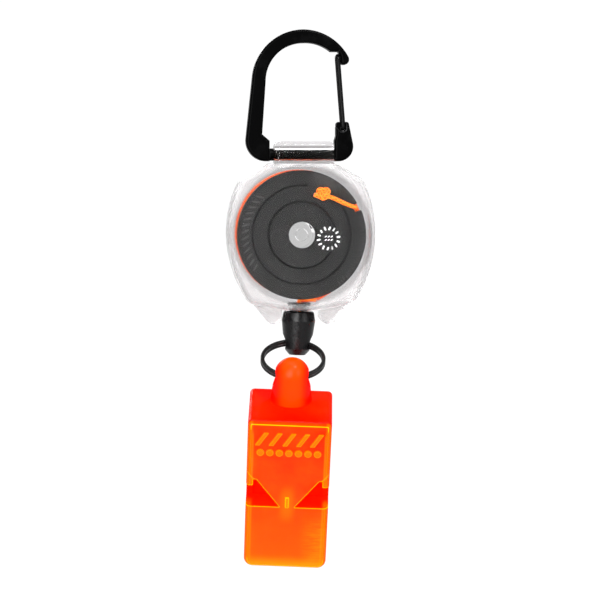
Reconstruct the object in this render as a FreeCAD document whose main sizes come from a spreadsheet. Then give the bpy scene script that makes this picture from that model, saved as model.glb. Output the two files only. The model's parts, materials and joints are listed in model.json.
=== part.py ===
"""A retractable reel tether with a whistle, in millimetres.

The frame hangs from a hook: the origin is on the crest of the carabiner's eye, +Z is up and the
front of the reel faces -Y. From the top: a wire-gate carabiner, the reel's clear case hinged on the
carabiner's lower bar, the sprung spool of cord inside it, the cord's end fitting, a split ring and a
three-piece whistle without a pea.
"""

import FreeCAD, Part
import math
import os
import re
import Sketcher

Vector = FreeCAD.Vector

# ------------------------------------------------------------------ driving dimensions

SIZES = {
    # how far a feature runs into the solid it joins, and a cut past the face it opens
    "weld": 0.2,
    "beyond": 1.0,
    # carabiner: a flat hook of one thickness with a round journal in its lower bar
    "frame_thick": 4.0,
    "frame_round": 0.7,
    "eye_inner": 10.3,
    "eye_outer": 13.9,
    "eye_across": 0.95,
    "spine_top_across": -12.85,
    "spine_top": -8.6,
    "spine_foot": -15.3,
    "spine_inner": -10.3,
    "spine_inner_low": -24.5,
    "base_low": -31.7,
    "base_round_left": 5.5,
    "base_round_right": 4.0,
    "block_left": 9.6,
    "block_top": -21.1,
    "block_right": 13.0,
    "block_foot": 15.2,
    "block_neck": 3.7,
    "block_shoulder": 5.0,
    "journal_drop": 29.9,
    "journal_radius": 1.65,
    "journal_shoulder": 1.7,
    "journal_root": 0.4,
    "journal_left": -8.3,
    "journal_right": 9.2,
    "nose_right": 13.2,
    "nose_low": -5.8,
    "nose_left": 11.0,
    "nose_top": -3.95,
    "nose_lean": 0.1,
    "nose_round": 1.3,
    "nose_round_left": 0.6,
    "block_round": 0.7,
    "notch_top": -2.35,
    "notch_left": 8.1,
    "notch_right": 10.15,
    "notch_lip": 0.6,
    "notch_lip_drop": 1.2,
    # wire gate
    "gate_wire": 1.2,
    "gate_spread": 1.3,
    "gate_long": 19.5,
    "gate_pivot_across": 11.6,
    "gate_pivot": -22.9,
    "gate_lean": 4.5,
    "gate_web": 0.6,
    "gate_stub": 0.1,
    "gate_bend": 0.62,
    "gate_play": 0.05,
    "gate_room": 0.9,
    "gate_room_left": 0.8,
    "gate_room_right": 0.75,
    "gate_room_top": 0.5,
    # reel case, about the spool's axis
    "spool_drop": 51.4,
    "case_half_depth": 7.0,
    "case_wall": 1.3,
    "case_side_radius": 33.0,
    "case_corner_across": 16.3,
    "case_corner": 14.9,
    "case_top_across": 9.2,
    "case_top": 19.0,
    "case_low_across": 13.8,
    "case_low": -18.4,
    "case_foot_across": 3.9,
    "case_foot": -20.3,
    "case_round_high": 2.5,
    "case_round_low": 1.4,
    "lug_left": -7.1,
    "lug_long": 16.15,
    "lug_top": 3.55,
    "lug_half": 3.4,
    "lug_round": 1.5,
    "lug_bore": 1.75,
    "rib_left": -3.6,
    "rib_middle": 1.6,
    "rib_right": 5.9,
    "rib_wide": 0.7,
    "rib_stand": 0.5,
    "rib_drop": 1.2,
    "ear_out": 12.9,
    "ear_out_root": -18.5,
    "ear_tip_out": 8.4,
    "ear_tip_in": 6.3,
    "ear_tip": -23.9,
    "ear_in": 5.25,
    "ear_in_root": -19.7,
    "ear_in_low": -22.4,
    "ear_depth": 4.5,
    "ear_round": 0.8,
    "pad_centre": 15.1,
    "pad_radius": 1.3,
    "pad_high": 0.2,
    "exit_across": -0.3,
    "exit_hole": 2.5,
    "post_radius": 3.5,
    "post_front": 5.4,
    "pin_radius": 1.6,
    "pin_long": 3.0,
    "pin_play": 0.1,
    "slot_rise": 1.6,
    "slot_wide": 0.8,
    # exit bushing
    "bushing_flange": 3.1,
    "bushing_top": -18.4,
    "bushing_low": -20.6,
    "bushing_bore": 0.85,
    "bushing_flare": 0.7,
    # spool
    "spool_radius": 17.3,
    "spool_front": 5.2,
    "groove_front": 2.3,
    "groove_rear": 2.5,
    "spool_rear": 3.7,
    "groove_radius": 14.2,
    "spring_room": 12.6,
    "spring_floor": 1.6,
    "hub_bore": 3.6,
    "dish_inner": 8.7,
    "dish_outer": 13.5,
    "dish_deep": 0.8,
    "dish_slope": 0.5,
    "pocket_left": 1.5,
    "pocket_low": 9.6,
    "pocket_floor": 3.2,
    "pocket_step": 0.6,
    "pocket_dip": 1.2,
    "pocket_rim": 1.1,
    "notch_turn": 26.7,
    "notch_deep": 1.7,
    "notch_before": 4.2,
    "notch_after": 2.6,
    "cover_radius": 13.2,
    "cover_thick": 0.8,
    # mainspring
    "spring_thick": 0.2,
    "spring_wide": 4.4,
    "spring_pitch": 0.5,
    "spring_outer": 12.3,
    "spring_turns": 8,
    "spring_gap": 0.3,
    "spring_last_step": 1.15,
    # cord
    "cord_thick": 1.2,
    "winding_radius": 17.1,
    "winding_shift_left": 0.45,
    "winding_shift_up": 0.25,
    "winding_gap": 0.1,
    "knot_across": 5.86,
    "knot_rise": 11.1,
    "knot_radius": 1.9,
    "knot_half_thick": 1.1,
    "cut_end_radius": 0.55,
    "cut_end_long": 3.0,
    "cut_end_turn": -98.0,
    "tail_depth": 4.3,
    "tail_in": 0.95,
    "tail_bend": 1.2,
    "lead_start": 4.3,
    "lead_rise": 0.7,
    "lead_slope": 0.1,
    "lead_depth": 0.1,
    "lead_bend": 1.4,
    "lead_sweep": 6.0,
    "lead_in_knot": 1.0,
    "end_knot_radius": 1.35,
    "end_knot_gap": 0.15,
    # lower chain: leans a little to the left, and faces a little left of the reel
    "chain_lean": 2.3,
    "chain_turn": -5.5,
    "fitting_top": 0.4,
    "fitting_long": 11.8,
    "fitting_top_radius": 4.15,
    "fitting_belly": 4.53,
    "fitting_belly_drop": 2.6,
    "fitting_waist": 3.6,
    "fitting_waist_drop": 10.2,
    "fitting_foot": 2.2,
    "fitting_neck_bore": 0.75,
    "fitting_room": 1.7,
    "fitting_room_top": 4.2,
    "fitting_mouth": 0.45,
    "fitting_edge": 0.35,
    "eyelet_drop": 9.0,
    "eyelet_radius": 1.35,
    "eyelet_mouth": 2.85,
    "eyelet_reach": 5.0,
    "eyelet_straight": 1.8,
    # split ring
    "ring_mean": 8.2,
    "ring_radial": 1.0,
    "ring_axial": 1.8,
    "ring_seam": 0.12,
    "ring_shift": -0.95,
    "ring_tilt": -60.0,
    # whistle, about the hole in its lug
    "whistle_pitch": 22.5,
    "whistle_shift": -0.2,
    "whistle_wide": 22.0,
    "whistle_front": -13.3,
    "whistle_seam_front": -5.3,
    "whistle_seam_rear": 4.2,
    "whistle_rear": 6.2,
    "whistle_top": -6.6,
    "whistle_long": 44.4,
    "whistle_round_top": 1.2,
    "whistle_round_low": 2.4,
    "whistle_round_front": 1.5,
    "whistle_round_rear": 1.0,
    "whistle_lug_base": 5.5,
    "whistle_lug_neck": 4.7,
    "whistle_lug_dome": 0.7,
    "whistle_hole": 1.4,
    "whistle_hole_mouth": 2.85,
    "whistle_hole_reach": 5.6,
    "chamber_in": 1.5,
    "chamber_out": 9.4,
    "chamber_top": -8.8,
    "chamber_wall": 2.0,
    "hollow_in": 1.0,
    "hollow_top": 4.0,
    "hollow_deep": 6.0,
    "window_top": -23.8,
    "window_low": -32.0,
    "window_in": 1.9,
    "window_out": 9.2,
    "window_slant": 0.9,
    "window_side_tall": 6.0,
    "window_side_slant": 0.6,
    "windway_deep": 1.3,
    "windway_lap": 0.5,
    "relief_high": 0.35,
    "stroke_pitch": 3.6,
    "stroke_out": 1.7,
    "stroke_in": 0.6,
    "stroke_top": 3.2,
    "stroke_low": 6.8,
    "dot_pitch": 2.5,
    "dot_drop": 9.0,
    "dot_radius": 0.9,
    "ridge_half": 0.4,
    "ridge_tall": 3.0,
}

doc = FreeCAD.newDocument("ReelTether")
dims = doc.addObject("Spreadsheet::Sheet", "dims")
for row, (alias, size) in enumerate(SIZES.items(), start=1):
    dims.set("A%d" % row, alias)
    dims.set("B%d" % row, str(size))
    dims.setAlias("B%d" % row, alias)
doc.recompute()

parts = {}


# ------------------------------------------------------------------ helpers


def ref(formula):
    """The formula with each alias written as a cell of the sheet."""
    return re.sub(r"[a-z_]+", lambda word: "dims." + word[0] if word[0] in SIZES else word[0], formula)


def value(formula):
    """What the formula gives with the numbers now in the sheet."""
    result = dims.evalExpression(ref(formula))
    return float(getattr(result, "Value", result))


def place(turn_axis=None, turn=0.0, across=0.0, depth=0.0, rise=0.0):
    """A placement from a turn in degrees about an axis and a shift."""
    axis = turn_axis or Vector(0, 0, 1)
    return FreeCAD.Placement(Vector(across, depth, rise), FreeCAD.Rotation(axis, turn))


def new_body(name, placement=None):
    """A body that is one piece of the object."""
    body = doc.addObject("PartDesign::Body", name)
    body.Label = name
    body.Placement = placement or FreeCAD.Placement()
    parts[name] = body
    return body


def sketch_on(body, role, name, lift=None, shift=None):
    """A sketch on one of the body's origin planes, lifted along its normal, shifted along its height."""
    sketch = body.newObject("Sketcher::SketchObject", body.Label + "_" + name)
    plane = [feature for feature in body.Origin.OriginFeatures if feature.Role == role][0]
    sketch.AttachmentSupport = (plane, [""])
    sketch.MapMode = "FlatFace"
    if lift:
        sketch.setExpression(".AttachmentOffset.Base.z", ref(lift))
    if shift:
        sketch.setExpression(".AttachmentOffset.Base.y", ref(shift))
    return sketch


def bind(sketch, kind, formula, *where):
    """A dimension of the sketch that follows the sheet."""
    index = sketch.addConstraint(Sketcher.Constraint(kind, *where, value(formula)))
    sketch.renameConstraint(index, "%s%d" % (kind.lower(), index))
    sketch.setExpression(".Constraints.%s%d" % (kind.lower(), index), ref(formula))


def pin(sketch, edge, end, across, rise):
    """Holds one end of an edge at a point given by two formulas."""
    for kind, formula, axis in (("DistanceX", across, -2), ("DistanceY", rise, -1)):
        if formula == "0":
            sketch.addConstraint(Sketcher.Constraint("PointOnObject", edge, end, axis))
        else:
            bind(sketch, kind, formula, edge, end)


def outline(sketch, points):
    """A closed outline through points (across, rise). A point (across, rise, radius, turn) starts an
    arc to the next point, turning "left" or "right" as it goes."""
    spots = [Vector(value(point[0]), value(point[1]), 0) for point in points]
    edges = []
    for start, point in enumerate(points):
        first, last = spots[start], spots[(start + 1) % len(points)]
        if len(point) == 2:
            edges.append((sketch.addGeometry(Part.LineSegment(first, last)), 1, 2))
            continue
        radius = value(point[2])
        chord = last - first
        rise = math.sqrt(max(0.0, radius**2 - chord.Length**2 / 4))
        side = 1 if point[3] == "left" else -1
        centre = (first + last) / 2 + Vector(-chord.y, chord.x, 0).normalize() * rise * side
        angles = [math.atan2(spot.y - centre.y, spot.x - centre.x) for spot in (first, last)]
        circle = Part.Circle(centre, Vector(0, 0, 1), radius)
        if side == 1:
            edges.append((sketch.addGeometry(Part.ArcOfCircle(circle, angles[0], angles[1])), 1, 2))
        else:
            edges.append((sketch.addGeometry(Part.ArcOfCircle(circle, angles[1], angles[0])), 2, 1))
        if rise > 1e-6:
            bind(sketch, "Radius", point[2], edges[-1][0])
        else:
            # a half circle between two points of the sketch's height axis
            sketch.addConstraint(Sketcher.Constraint("PointOnObject", edges[-1][0], 3, -2))
    for number, (edge, start, end) in enumerate(edges):
        after, after_start, after_end = edges[(number + 1) % len(edges)]
        sketch.addConstraint(Sketcher.Constraint("Coincident", edge, end, after, after_start))
        pin(sketch, edge, start, points[number][0], points[number][1])


def circle(sketch, across, rise, radius):
    """A circle bound to the sheet."""
    centre = Vector(value(across), value(rise), 0)
    edge = sketch.addGeometry(Part.Circle(centre, Vector(0, 0, 1), value(radius)))
    pin(sketch, edge, 3, across, rise)
    bind(sketch, "Radius", radius, edge)


def extrude(kind, body, sketch, length, forward=True, both=False):
    """A pad or a pocket of the sketch. Forward is along a pad's normal, or against it for a pocket."""
    feature = body.newObject("PartDesign::" + kind, sketch.Name + "_" + kind.lower())
    feature.Profile = sketch
    feature.setExpression("Length", ref(length))
    feature.Reversed = not forward
    feature.SideType = "Symmetric" if both else "One side"
    doc.recompute()
    return feature


def revolve(kind, body, sketch, axis):
    """A full revolution or groove of the sketch about its own H_Axis or V_Axis."""
    feature = body.newObject("PartDesign::" + kind, sketch.Name + "_" + kind.lower())
    feature.Profile = sketch
    feature.ReferenceAxis = (sketch, [axis])
    feature.Angle = 360.0
    doc.recompute()
    return feature


def round_edges(body, name, radius, wanted):
    """Rounds the tip's edges whose middle and direction the test wants."""
    base = body.Tip
    names = []
    for number, edge in enumerate(base.Shape.Edges, start=1):
        first, last = edge.ParameterRange
        middle = edge.valueAt((first + last) / 2)
        if wanted(middle, edge):
            names.append("Edge%d" % number)
    feature = body.newObject("PartDesign::Fillet", body.Label + "_" + name)
    feature.Base = (base, names)
    feature.setExpression("Radius", ref(radius))
    doc.recompute()
    return feature


def runs_along(edge, axis):
    """True for a straight edge that is parallel to the axis."""
    first, last = edge.ParameterRange
    run = edge.valueAt(last) - edge.valueAt(first)
    return abs(run.dot(axis)) > 0.9999 * edge.Length


def near(spot, across, rise, reach=0.4):
    """True when the spot's X and Z are close to the formulas' values."""
    return math.hypot(spot.x - value(across), spot.z - value(rise)) < reach


def cord(name, route, radii, placement=None):
    """A round cord along straight runs joined by tangent arcs, one radius for each inner point."""
    ends = [Vector(*point) for point in route]
    edges = []
    start = ends[0]
    for before, corner, after, radius in zip(ends, ends[1:], ends[2:], radii):
        back = (before - corner).normalize()
        ahead = (after - corner).normalize()
        turn = math.pi - back.getAngle(ahead)
        reach = radius * math.tan(turn / 2)
        middle = (back + ahead).normalize() * radius * (1 / math.cos(turn / 2) - 1)
        edges.append(Part.LineSegment(start, corner + back * reach).toShape())
        edges.append(Part.Arc(corner + back * reach, corner + middle, corner + ahead * reach).toShape())
        start = corner + ahead * reach
        print("%s: arc of radius %.2f mm, turning %.0f degrees" % (name, radius, math.degrees(turn)))
    edges.append(Part.LineSegment(start, ends[-1]).toShape())
    path = Part.Wire(edges)
    section = Part.Wire(Part.makeCircle(value("cord_thick") / 2, ends[0], ends[1] - ends[0]))
    tube = path.makePipeShell([section], True, False)
    expected = math.pi * value("cord_thick") ** 2 / 4 * path.Length
    share = tube.Volume / expected
    print("%s: %.1f mm long, volume %.4f of section times length" % (name, path.Length, share))
    piece = doc.addObject("Part::Feature", name)
    piece.Label = name
    piece.Shape = tube
    piece.Placement = placement or FreeCAD.Placement()
    parts[name] = piece


AXIS_X = Vector(1, 0, 0)
AXIS_Y = Vector(0, 1, 0)
AXIS_Z = Vector(0, 0, 1)

# where the assemblies stand
at_reel = place(rise=-value("spool_drop"))
at_exit = place(AXIS_Y, value("chain_lean"), value("exit_across"), 0, value("case_foot - spool_drop"))
at_fitting = at_exit.multiply(place(AXIS_Z, value("chain_turn")))
at_ring = at_fitting.multiply(
    place(AXIS_X, value("ring_tilt"), value("ring_shift"), 0, -value("eyelet_drop"))
)
at_whistle = at_ring.multiply(place(across=value("whistle_shift"), rise=-2 * value("ring_mean"))).multiply(
    place(AXIS_X, value("whistle_pitch - ring_tilt"))
)


# ------------------------------------------------------------------ carabiner


def make_carabiner_frame():
    """The hook: an open eye, a spine, a lower bar turned round for the reel, and the gate's block."""
    body = new_body("carabiner_frame")
    hook = sketch_on(body, "XZ_Plane", "hook")
    outline(
        hook,
        [
            ("nose_left", "nose_low"),
            ("nose_right", "nose_low"),
            ("nose_right - nose_lean", "nose_top", "eye_outer", "left"),
            ("eye_across", "eye_outer - eye_inner", "eye_outer", "left"),
            ("spine_top_across", "spine_top"),
            ("spine_foot", "base_low"),
            ("journal_left", "base_low"),
            ("journal_left", "spine_inner_low - journal_shoulder"),
            ("spine_inner", "spine_inner_low"),
            ("eye_across - eye_inner", "-eye_inner", "eye_inner", "right"),
            ("eye_across", "0", "eye_inner", "right"),
            ("notch_left", "notch_top"),
            ("notch_right", "notch_top"),
            ("notch_right + notch_lip", "notch_top - notch_lip_drop"),
        ],
    )
    extrude("Pad", body, hook, "frame_thick", both=True)
    round_edges(
        body,
        "left_corner",
        "base_round_left",
        lambda spot, edge: runs_along(edge, AXIS_Y) and near(spot, "spine_foot", "base_low"),
    )
    for side, across, radius in (
        ("right", "nose_right", "nose_round"),
        ("left", "nose_left", "nose_round_left"),
    ):
        round_edges(
            body,
            "nose_" + side,
            radius,
            lambda spot, edge: runs_along(edge, AXIS_Y) and near(spot, across, "nose_low"),
        )
    journal = sketch_on(body, "YZ_Plane", "journal", lift="journal_left - journal_root")
    circle(journal, "0", "-journal_drop", "journal_radius")
    extrude("Pad", body, journal, "journal_right - journal_left + 2*journal_root")
    block = sketch_on(body, "XZ_Plane", "block")
    outline(
        block,
        [
            ("journal_right", "base_low"),
            ("block_foot", "base_low"),
            ("block_right", "block_top"),
            ("block_left", "block_top"),
            ("block_left", "block_top - block_neck"),
            ("journal_right", "block_top - block_shoulder"),
        ],
    )
    extrude("Pad", body, block, "frame_thick", both=True)
    round_edges(
        body,
        "right_corner",
        "base_round_right",
        lambda spot, edge: runs_along(edge, AXIS_Y) and near(spot, "block_foot", "base_low"),
    )
    round_edges(
        body,
        "block_corners",
        "block_round",
        lambda spot, edge: runs_along(edge, AXIS_Y)
        and (near(spot, "block_left", "block_top") or near(spot, "block_right", "block_top")),
    )
    half = value("frame_thick") / 2
    round_edges(
        body,
        "handled_edges",
        "frame_round",
        lambda spot, edge: abs(abs(spot.y) - half) < 1e-6,
    )
    # the block is thinned on both faces, so that the gate's legs stand astride a web
    for side, forward in (("front", True), ("rear", False)):
        lift = "gate_web" if forward else "-gate_web"
        recess = sketch_on(body, "XZ_Plane", side + "_recess", lift=lift)
        outline(
            recess,
            [
                ("gate_pivot_across + gate_room_right", "gate_pivot"),
                ("gate_pivot_across + gate_room_right", "block_top + gate_room_top"),
                ("block_left - gate_room_top", "block_top + gate_room_top"),
                ("block_left - gate_room_top", "gate_pivot + gate_room"),
                ("gate_pivot_across - gate_room_left", "gate_pivot - gate_room"),
                ("gate_pivot_across", "gate_pivot - gate_room", "gate_room", "left"),
            ],
        )
        extrude("Pocket", body, recess, "frame_thick", forward=not forward)
    bore = sketch_on(body, "XZ_Plane", "pivot")
    circle(bore, "gate_pivot_across", "gate_pivot", "gate_wire/2 + gate_play")
    extrude("Pocket", body, bore, "frame_thick", both=True)


def make_wire_gate():
    """One bent wire: two legs joined by a loop at the nose, with inturned feet in the block's web."""
    lean = place(AXIS_Y, -value("gate_lean"), value("gate_pivot_across"), 0, value("gate_pivot"))
    body = new_body("wire_gate", lean)
    path = sketch_on(body, "YZ_Plane", "path")
    spread, bend = value("gate_spread"), value("gate_bend")
    stub, long = value("gate_stub"), value("gate_long")
    axis = Vector(0, 0, 1)
    centres = (Vector(spread - bend, bend, 0), Vector(0, long - spread, 0), Vector(bend - spread, bend, 0))
    edges = [
        Part.LineSegment(Vector(stub, 0, 0), Vector(spread - bend, 0, 0)),
        Part.ArcOfCircle(Part.Circle(centres[0], axis, bend), -math.pi / 2, 0),
        Part.LineSegment(Vector(spread, bend, 0), Vector(spread, long - spread, 0)),
        Part.ArcOfCircle(Part.Circle(centres[1], axis, spread), 0, math.pi),
        Part.LineSegment(Vector(-spread, long - spread, 0), Vector(-spread, bend, 0)),
        Part.ArcOfCircle(Part.Circle(centres[2], axis, bend), math.pi, 3 * math.pi / 2),
        Part.LineSegment(Vector(bend - spread, 0, 0), Vector(-stub, 0, 0)),
    ]
    path.addGeometry(edges)
    for edge in range(len(edges) - 1):
        path.addConstraint(Sketcher.Constraint("Tangent", edge, 2, edge + 1, 1))
    pin(path, 0, 1, "gate_stub", "0")
    path.addConstraint(Sketcher.Constraint("Horizontal", 0))
    bind(path, "Radius", "gate_bend", 1)
    bind(path, "DistanceX", "gate_spread", 2, 1)
    bind(path, "DistanceY", "gate_long - gate_spread", 2, 2)
    pin(path, 3, 3, "0", "gate_long - gate_spread")
    bind(path, "Radius", "gate_bend", 5)
    path.addConstraint(Sketcher.Constraint("Horizontal", 6))
    bind(path, "DistanceX", "-gate_stub", 6, 2)
    section = sketch_on(body, "XZ_Plane", "section", lift="-gate_stub")
    circle(section, "0", "0", "gate_wire/2")
    doc.recompute()
    pipe = body.newObject("PartDesign::AdditivePipe", "wire_gate_pipe")
    pipe.Profile = section
    pipe.Spine = (path, ["Edge%d" % number for number in range(1, len(edges) + 1)])
    doc.recompute()


# ------------------------------------------------------------------ reel case


def make_case_half(name, front):
    """One clear shell: the front half or the rear half, parted at the middle plane."""
    body = new_body(name, at_reel)
    side = -1 if front else 1
    sign = "-" if front else ""
    turn, counter = ("left", "right") if front else ("right", "left")
    shape = sketch_on(body, "XZ_Plane", "shape")
    outline(
        shape,
        [
            ("case_low_across", "case_low", "case_side_radius", "left"),
            ("case_corner_across", "case_corner"),
            ("case_top_across", "case_top"),
            ("-case_top_across", "case_top"),
            ("-case_corner_across", "case_corner", "case_side_radius", "left"),
            ("-case_low_across", "case_low"),
            ("-case_foot_across", "case_foot"),
            ("case_foot_across", "case_foot"),
        ],
    )
    extrude("Pad", body, shape, "case_half_depth", forward=front)
    for corner, across, rise, radius in (
        ("high", "case_corner_across", "case_corner", "case_round_high"),
        ("low", "case_low_across", "case_low", "case_round_low"),
    ):
        round_edges(
            body,
            corner + "_corners",
            radius,
            lambda spot, edge: runs_along(edge, AXIS_Y)
            and abs(abs(spot.x) - value(across)) < 0.3
            and abs(spot.z - value(rise)) < 0.3,
        )
    solid = body.Tip
    parting = [
        "Face%d" % number
        for number, face in enumerate(solid.Shape.Faces, start=1)
        if abs(face.CenterOfMass.y) < 1e-6
    ]
    shell = body.newObject("PartDesign::Thickness", name + "_shell")
    shell.Base = (solid, parting)
    shell.setExpression("Value", ref("case_wall"))
    shell.Reversed = True
    shell.Join = "Intersection"
    doc.recompute()
    outer = side * value("case_half_depth")
    round_edges(
        body,
        "face_edge",
        "case_wall - 0.1",
        lambda spot, edge: abs(spot.y - outer) < 1e-6,
    )
    lug = sketch_on(body, "YZ_Plane", "lug", lift="lug_left")
    axle = "(spool_drop - journal_drop)"
    outline(
        lug,
        [
            ("0", "case_top - case_wall + weld"),
            ("0", axle + " - lug_bore", "lug_bore", counter),
            ("0", axle + " + lug_bore"),
            ("0", axle + " + lug_top"),
            (sign + "(lug_half - lug_round)", axle + " + lug_top", "lug_round", turn),
            (sign + "lug_half", axle + " + lug_top - lug_round"),
            (sign + "lug_half", "case_top - case_wall + weld"),
        ],
    )
    extrude("Pad", body, lug, "lug_long")
    round_edges(
        body,
        "lug_corners",
        "lug_round",
        lambda spot, edge: runs_along(edge, AXIS_Y) and abs(spot.z - value(axle + " + lug_top")) < 0.1,
    )
    ribs = sketch_on(body, "XZ_Plane", "ribs", lift="lug_half - weld" if front else "weld - lug_half")
    for across in ("rib_left", "rib_middle", "rib_right"):
        outline(
            ribs,
            [
                (across + " - rib_wide/2", "case_top - weld"),
                (across + " + rib_wide/2", "case_top - weld"),
                (across + " + rib_wide/2", axle + " - rib_drop"),
                (across + " - rib_wide/2", axle + " - rib_drop"),
            ],
        )
    extrude("Pad", body, ribs, "rib_stand + weld", forward=front)
    ears = sketch_on(body, "XZ_Plane", "ears")
    for hand in ("", "-"):
        outline(
            ears,
            [
                (hand + "ear_in", "ear_in_root"),
                (hand + "ear_in", "ear_in_low"),
                (hand + "ear_tip_in", "ear_tip"),
                (hand + "ear_tip_out", "ear_tip"),
                (hand + "ear_out", "ear_out_root"),
            ],
        )
    extrude("Pad", body, ears, "ear_depth", forward=front)
    round_edges(
        body,
        "ear_tips",
        "ear_round",
        lambda spot, edge: runs_along(edge, AXIS_Y) and abs(spot.z - value("ear_tip")) < 0.1,
    )
    mouth = sketch_on(body, "XY_Plane", "mouth", lift="case_foot + case_wall + beyond")
    circle(mouth, "exit_across", "0", "exit_hole")
    extrude("Pocket", body, mouth, "case_wall + 2*beyond")
    return body


def make_front_case():
    """The front shell, with a pin for the post and raised pads round the left of its face."""
    body = make_case_half("front_case", True)
    pin_face = sketch_on(body, "XZ_Plane", "pin", lift="case_half_depth - case_wall + weld")
    circle(pin_face, "0", "0", "pin_radius")
    extrude("Pad", body, pin_face, "pin_long + weld", forward=False)
    pads = sketch_on(body, "XZ_Plane", "pads", lift="case_half_depth - weld")
    for turn in (150, 165, 180, 195, 210):
        rise = "pad_centre*sin(%d deg)" % turn if turn != 180 else "0"
        circle(pads, "pad_centre*cos(%d deg)" % turn, rise, "pad_radius")
    extrude("Pad", body, pads, "pad_high + weld")


def make_rear_case():
    """The rear shell, with the post that carries the spool and holds the mainspring's inner end."""
    body = make_case_half("rear_case", False)
    post = sketch_on(body, "XZ_Plane", "post", lift="-case_half_depth + case_wall - weld")
    circle(post, "0", "0", "post_radius")
    extrude("Pad", body, post, "case_half_depth - case_wall + weld + post_front")
    bore = sketch_on(body, "XZ_Plane", "bore", lift="post_front")
    circle(bore, "0", "0", "pin_radius + pin_play")
    extrude("Pocket", body, bore, "pin_long + pin_play")
    slot = sketch_on(body, "XZ_Plane", "slot", lift="spring_floor")
    outline(
        slot,
        [
            ("-post_radius - beyond", "slot_rise"),
            ("post_radius + beyond", "slot_rise"),
            ("post_radius + beyond", "slot_rise + slot_wide"),
            ("-post_radius - beyond", "slot_rise + slot_wide"),
        ],
    )
    extrude("Pocket", body, slot, "spring_floor + spool_rear")


def make_exit_bushing():
    """The flanged guide that the cord leaves through, with a flared mouth."""
    at_mouth = at_reel.multiply(place(across=value("exit_across")))
    body = new_body("exit_bushing", at_mouth)
    profile = sketch_on(body, "XZ_Plane", "profile")
    outline(
        profile,
        [
            ("bushing_bore", "bushing_low"),
            ("exit_hole", "bushing_low"),
            ("exit_hole", "case_foot + case_wall"),
            ("bushing_flange", "case_foot + case_wall"),
            ("bushing_flange", "bushing_top"),
            ("bushing_bore + bushing_flare", "bushing_top", "bushing_flare", "left"),
            ("bushing_bore", "bushing_top - bushing_flare"),
        ],
    )
    revolve("Revolution", body, profile, "V_Axis")


# ------------------------------------------------------------------ spool


def make_spool_drum():
    """The drum: two flanges, a hub on the post, a room for the spring and a pocket for the knot."""
    body = new_body("spool_drum", at_reel)
    profile = sketch_on(body, "XY_Plane", "profile")
    outline(
        profile,
        [
            ("hub_bore", "-spool_front"),
            ("hub_bore", "-spring_floor"),
            ("spring_room", "-spring_floor"),
            ("spring_room", "spool_rear"),
            ("spool_radius", "spool_rear"),
            ("spool_radius", "groove_rear"),
            ("groove_radius", "groove_rear"),
            ("groove_radius", "-groove_front"),
            ("spool_radius", "-groove_front"),
            ("spool_radius", "-spool_front"),
            ("dish_outer", "-spool_front"),
            ("dish_outer - dish_slope", "-spool_front + dish_deep"),
            ("dish_inner + dish_slope", "-spool_front + dish_deep"),
            ("dish_inner", "-spool_front"),
        ],
    )
    revolve("Revolution", body, profile, "V_Axis")
    turn = "notch_turn * 1 deg"
    rim_across, rim_rise = "spool_radius*cos(%s)" % turn, "spool_radius*sin(%s)" % turn
    pocket = sketch_on(body, "XZ_Plane", "knot_pocket", lift="spool_front + beyond")
    outline(
        pocket,
        [
            ("pocket_left", "pocket_low + pocket_step"),
            ("knot_across - pocket_dip", "pocket_low - pocket_step"),
            (rim_across + " - weld", rim_rise + " - pocket_rim"),
            (rim_across + " + 2*beyond", rim_rise + " - pocket_rim"),
            (rim_across + " + 2*beyond", "spool_radius + beyond"),
            ("pocket_left", "spool_radius + beyond"),
        ],
    )
    extrude("Pocket", body, pocket, "spool_front + beyond - pocket_floor")
    # the notch lets the cord over the rim, square to the rim at its turn
    notch = sketch_on(body, "XZ_Plane", "rim_notch", lift="spool_front + beyond")
    low, high = "(notch_turn - notch_before) * 1 deg", "(notch_turn + notch_after) * 1 deg"
    outline(
        notch,
        [
            ("(spool_radius - notch_deep)*cos(%s)" % low, "(spool_radius - notch_deep)*sin(%s)" % low),
            ("(spool_radius + beyond)*cos(%s)" % low, "(spool_radius + beyond)*sin(%s)" % low),
            ("(spool_radius + beyond)*cos(%s)" % high, "(spool_radius + beyond)*sin(%s)" % high),
            ("(spool_radius - notch_deep)*cos(%s)" % high, "(spool_radius - notch_deep)*sin(%s)" % high),
        ],
    )
    extrude("Pocket", body, notch, "spool_front + beyond - groove_front")


def make_spring_cover():
    """The thin disc that keeps the mainspring in its room."""
    body = new_body("spring_cover", at_reel)
    disc = sketch_on(body, "XZ_Plane", "disc", lift="-spool_rear")
    circle(disc, "0", "0", "cover_radius")
    circle(disc, "0", "0", "hub_bore")
    extrude("Pad", body, disc, "cover_thick", forward=False)


def make_mainspring():
    """A flat spiral strip, drawn as half turns about two centres, closing in fast at its inner end."""
    pitch, thick = value("spring_pitch"), value("spring_thick")
    steps = [pitch / 2] * (2 * int(value("spring_turns"))) + [value("spring_last_step")] * 3
    radius, centre, side = value("spring_outer"), 0.0, 1
    outer, inner = [], []
    for step in steps:
        for edges, grow in ((outer, thick / 2), (inner, -thick / 2)):
            reach = radius + grow
            first = Vector(centre + side * reach, 0, 0)
            middle = Vector(centre, 0, side * reach)
            last = Vector(centre - side * reach, 0, 0)
            edges.append((first, middle, last))
        centre -= side * step
        radius -= step
        side = -side
    forward = [Part.Arc(*edge).toShape() for edge in outer]
    back = [Part.Arc(*edge).toShape() for edge in inner]
    caps = [
        Part.LineSegment(outer[-1][2], inner[-1][2]).toShape(),
        Part.LineSegment(inner[0][0], outer[0][0]).toShape(),
    ]
    strip = Part.Face(Part.Wire(Part.__sortEdges__(forward + back + caps)))
    piece = doc.addObject("Part::Feature", "mainspring")
    piece.Label = "mainspring"
    piece.Shape = strip.extrude(Vector(0, value("spring_wide"), 0))
    start = place(depth=value("spring_gap - spring_floor"))
    piece.Placement = at_reel.multiply(start)
    parts["mainspring"] = piece


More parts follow.
